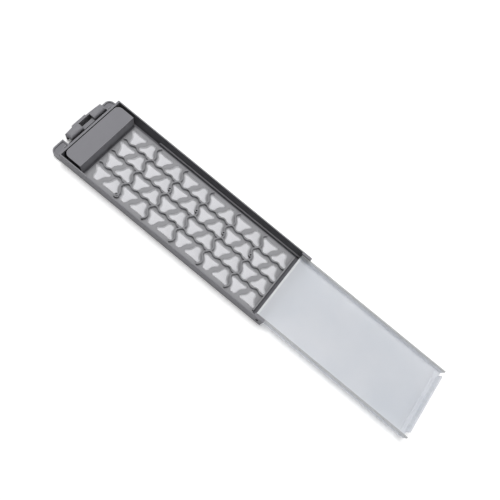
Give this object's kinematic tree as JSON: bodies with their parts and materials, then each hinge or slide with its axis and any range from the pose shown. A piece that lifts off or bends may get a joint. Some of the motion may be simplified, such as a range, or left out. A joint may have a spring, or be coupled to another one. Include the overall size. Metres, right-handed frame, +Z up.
{
  "type": "washing machine lint filter cassette",
  "caption": "Shallow plastic lint filter cassette with a netted floor grille, a sprung thumb latch at one end and a translucent cover that slides out of the other.",
  "frame": {"origin": "centre of the grille, on the plane of the drum-side face that the cassette lies on", "axes": "+X along the length from the latch to the open end, +Y across, +Z up out of the open side"},
  "size_m": [0.3403, 0.064, 0.0136],
  "materials": {
    "case_grey": "moulded satin",
    "grille_grey": "moulded satin",
    "net_white": "woven",
    "cover_clear": "translucent satin",
    "latch_grey": "moulded satin"
  },
  "bodies": {
    "cassette": {"case": "case_grey", "grille": "grille_grey", "filter_net": "net_white"},
    "cover": {"slide_cover": "cover_clear"},
    "thumb_latch": {"latch": "latch_grey"}
  },
  "joints": [
    {"name": "cover_slide", "type": "slide", "parent": "cassette", "child": "cover", "axis": [1, 0, 0], "range_m": [-0.1332, 0]},
    {"name": "latch_pivot", "type": "hinge", "parent": "cassette", "child": "thumb_latch", "pos_m": [-0.1071, 0.00205, 0.0022], "axis": [0, 1, 0], "range_deg": [0, 12], "stiffness_Nm_per_rad": 0.06}
  ]
}
